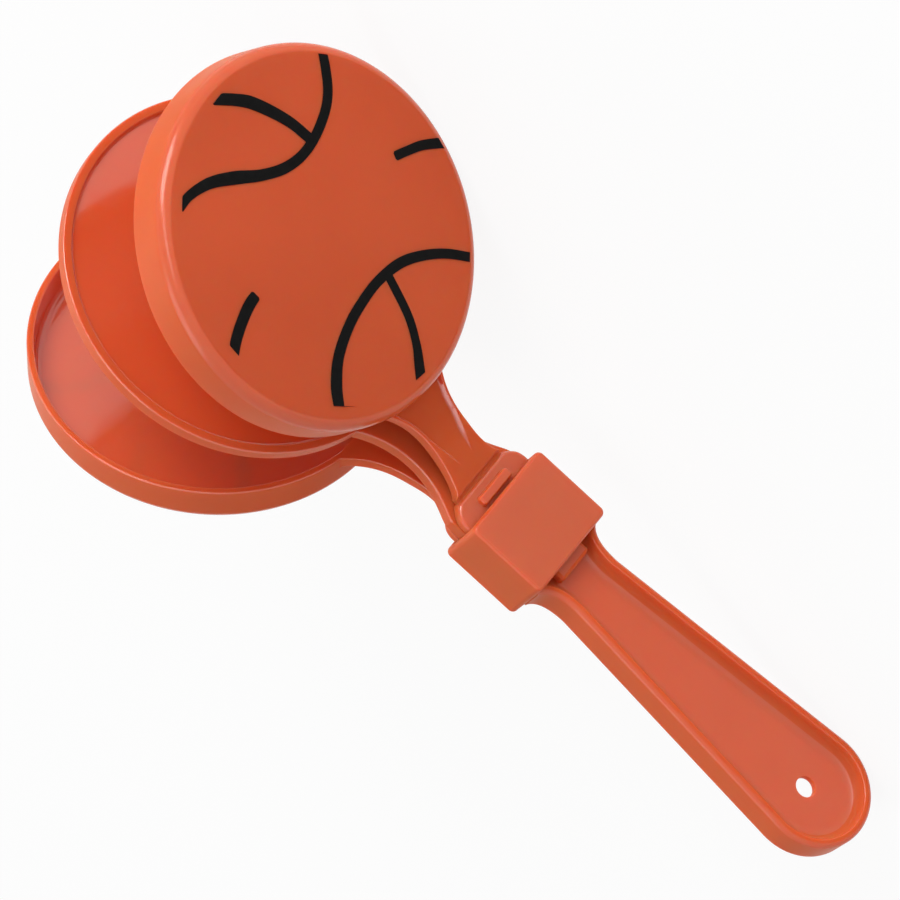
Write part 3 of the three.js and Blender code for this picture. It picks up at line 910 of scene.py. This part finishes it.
def plastic(name, shades, specular, roughness, scatter=SCATTER):
    """Moulded plastic whose colour drifts between two shades, with fine grain and faint flow marks."""
    material, tree, shader = new_material(name, specular)
    tint(tree, shader, noise(tree, **BROAD_NOISE), TINT_DRIFT, shades)
    rough = (roughness - ROUGHNESS_DRIFT, roughness + ROUGHNESS_DRIFT)
    roughen(tree, shader, noise(tree, **FLOW_NOISE), FLOW_DRIFT, rough)
    grain = node(tree, "ShaderNodeBump", **GRAIN)
    tree.links.new(noise(tree, **GRAIN_NOISE), grain.inputs["Height"])
    tree.links.new(grain.outputs["Normal"], shader.inputs["Normal"])
    shader.inputs["Subsurface Weight"].default_value = 1
    shader.inputs["Subsurface Radius"].default_value = SCATTER_COLOUR
    shader.inputs["Subsurface Scale"].default_value = scatter
    shader.inputs["IOR"].default_value = PLASTIC_IOR
    return material


def ink():
    """Nearly black print with fine specks of gloss."""
    material, tree, shader = new_material("black_print", INK_SPECULAR)
    speck = noise(tree, **SPECK_NOISE)
    tint(tree, shader, speck, SPECK_DRIFT, INK_SHADES)
    roughen(tree, shader, speck, (0, 1), INK_ROUGHNESS)
    return material


# Each plastic has its shades, the strength of its highlights and its roughness
SATIN = plastic("orange_satin", ORANGE_SHADES, 0.05, 0.36)
MATTE = plastic("orange_matte", MATTE_SHADES, 0.6, 0.42)
POLISHED = plastic("orange_polished", POLISHED_SHADES, 1.0, 0.12)
GLOSS = plastic("orange_gloss", ORANGE_SHADES, 0.45, 0.16)
# A darker copy of the satin orange for the dish faces: painted shade
SHADED_FACE = plastic("orange_shaded_face", SHADED_FACE_SHADES, 0.05, 0.36)
THIN = plastic("orange_thin", ORANGE_SHADES, 0.05, 0.36, THIN_SCATTER)
BLACK = ink()
ORANGE = [SATIN, MATTE, POLISHED, GLOSS, SHADED_FACE]


# Finishes: which orange a face takes, from its middle and its normal in the flat frame
def rounded_edge(normal):
    return max(abs(normal.x), abs(normal.y), abs(normal.z)) < FLAT_LEAST and abs(normal.z) > EDGE_LIFT


def groove_shoulder(spot, normal):
    by_groove = abs(spot.x - HINGE_X) < GROOVE_BAND
    return by_groove and abs(normal.x) > GROOVE_TURN and normal.z > EDGE_LIFT


def paddle_finish(spot, normal):
    """Polished on the disc and the neck's edges, matte on the handle's web, glossy on its rim."""
    if from_axis(spot) < DISC_RADIUS - DISC_RIM + MARGIN and abs(spot.z) < PADDLE_DEPTH / 2 - MARGIN:
        return POLISHED
    if spot.x < 0 and abs(spot.z) < HANDLE_WEB_HALF + WEB_BAND and abs(normal.z) > WEB_LIFT:
        return MATTE
    if not rounded_edge(normal):
        return SATIN
    if spot.x > 0:
        return POLISHED
    return GLOSS if abs(spot.z) > HANDLE_HALF_DEPTH - RIM_BAND else SATIN


def clamp_finish(spot, normal):
    """Matte on the broad sides up to the collar's far end, and glossy on the edges."""
    if spot.x < -COLLAR_LENGTH - TAIL_BAND:
        return SATIN
    if groove_shoulder(spot, normal):
        return POLISHED
    if abs(normal.z) > FLAT_LEAST:
        return MATTE
    return GLOSS if rounded_edge(normal) else SATIN


def dish_finish(spot, normal):
    """Polished inside and on the lip and edges, glossy on the fillet, and a darker face, which is painted
    shade.
    """
    radius = from_axis(spot)
    if groove_shoulder(spot, normal):
        return POLISHED
    inside_top = DISH_TOP - DISH_WALL + MARGIN
    if radius < LIP_RADIUS - DISH_WALL + MARGIN and INNER_Z + LIP_BAND < spot.z < inside_top:
        return POLISHED
    on_fillet = radius > LIP_RADIUS - DISH_TAPER - DISH_FILLET and spot.z > DISH_TOP - DISH_FILLET
    if on_fillet and FILLET_LIFT[0] < abs(normal.z) < FILLET_LIFT[1]:
        return GLOSS
    # The flat face takes the darker orange, which is painted shade
    if spot.z > DISH_TOP - MARGIN:
        return SHADED_FACE
    return POLISHED if rounded_edge(normal) else SATIN


# Build
finish_piece(centre_paddle(), FLAT, "paddle", ORANGE, ["center_paddle"], paddle_finish)
finish_piece(collar(), FLAT, "sleeve", ORANGE, ["collar"], clamp_finish)

for side, (still, opened) in SIDES.items():
    body = f"{side}_dish"
    shell = combine(dish(), arm())
    shell.name = f"{side}_shell_piece"
    finish_piece(shell, still @ opened, body, ORANGE, [f"{side}_shell"], dish_finish)
    lower = tongue_piece()
    lower.name = f"{side}_tongue_piece"
    finish_piece(lower, still, "paddle", ORANGE, [f"{side}_tongue"], clamp_finish)
    strip = film(f"{side}_hinge")
    strip.name = f"{side}_film_piece"
    finish_piece(strip, still, None, [THIN], [f"{side}_hinge_film"])
    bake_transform(strip)
    for name, strokes in SEAMS.items():
        line = seam(strokes)
        line.name = f"{side}_{name}_piece"
        finish_piece(line, still @ opened, body, [BLACK], [f"{side}_{name}"])


# Floor, light and camera
def background_rays(tree):
    """One for the rays that see the background: the camera's, and those by reflection or through glass."""
    seen = node(tree, "ShaderNodeLightPath")
    total = seen.outputs["Is Camera Ray"]
    for ray in ("Is Glossy Ray", "Is Transmission Ray"):
        add = node(tree, "ShaderNodeMath", operation="MAXIMUM")
        tree.links.new(total, add.inputs[0])
        tree.links.new(seen.outputs[ray], add.inputs[1])
        total = add.outputs[0]
    return total


def mix(tree, share, first, second, out):
    """Mixes two shaders by a share and links the result to the output node."""
    mixed = node(tree, "ShaderNodeMixShader")
    tree.links.new(share, mixed.inputs["Fac"])
    tree.links.new(first.outputs[0], mixed.inputs[1])
    tree.links.new(second.outputs[0], mixed.inputs[2])
    tree.links.new(mixed.outputs[0], out.inputs["Surface"])


def floor():
    half = FLOOR_HALF
    mesh = bpy.data.meshes.new("floor")
    corners = [(-half, -half, 0), (half, -half, 0), (half, half, 0), (-half, half, 0)]
    mesh.from_pydata(corners, [], [(0, 1, 2, 3)])
    obj = bpy.data.objects.new("floor", mesh)
    bpy.context.scene.collection.objects.link(obj)
    material = bpy.data.materials.new("floor")
    material.use_nodes = True
    tree = material.node_tree
    tree.nodes.clear()
    matte = node(tree, "ShaderNodeBsdfDiffuse", Color=(FLOOR_GREY, FLOOR_GREY, FLOOR_GREY, 1))
    glow = node(tree, "ShaderNodeEmission", Color=(1, 1, 1, 1), Strength=1)
    share = node(tree, "ShaderNodeMath", operation="MULTIPLY")
    share.inputs[1].default_value = FLOOR_GLOW
    tree.links.new(background_rays(tree), share.inputs[0])
    mix(tree, share.outputs[0], matte, glow, node(tree, "ShaderNodeOutputMaterial"))
    obj.data.materials.append(material)


def world():
    scene_world = bpy.data.worlds.new("studio")
    bpy.context.scene.world = scene_world
    scene_world.use_nodes = True
    tree = scene_world.node_tree
    tree.nodes.clear()
    room = node(tree, "ShaderNodeBackground", Color=(1, 1, 1, 1), Strength=ROOM_STRENGTH)
    white = node(tree, "ShaderNodeBackground", Color=(1, 1, 1, 1), Strength=1)
    mix(tree, background_rays(tree), room, white, node(tree, "ShaderNodeOutputWorld"))


def softbox(name, place, size, watts):
    light = bpy.data.lights.new(name, "AREA")
    light.shape = "RECTANGLE"
    light.size, light.size_y = size
    light.energy = watts
    obj = bpy.data.objects.new(name, light)
    bpy.context.scene.collection.objects.link(obj)
    obj.location = place
    obj.rotation_euler = (TARGET - Vector(place)).to_track_quat("-Z", "Y").to_euler()


def camera():
    """The photograph's viewpoint: turned about the view axis, so that the handle points down right."""
    lens = bpy.data.cameras.new("camera")
    lens.sensor_width = CAMERA_SENSOR
    lens.lens = CAMERA_LENS
    obj = bpy.data.objects.new("camera", lens)
    bpy.context.scene.collection.objects.link(obj)
    obj.location = CAMERA_PLACE
    side = CAMERA_LOOK.cross(CAMERA_UP).normalized()
    above = side.cross(CAMERA_LOOK)
    obj.rotation_euler = Matrix((side, above, -CAMERA_LOOK)).transposed().to_euler()
    bpy.context.scene.camera = obj


floor()
world()
for name, (place, size, watts) in LAMPS.items():
    softbox(name, place, size, watts)
camera()
bpy.context.scene.view_settings.view_transform = "Standard"
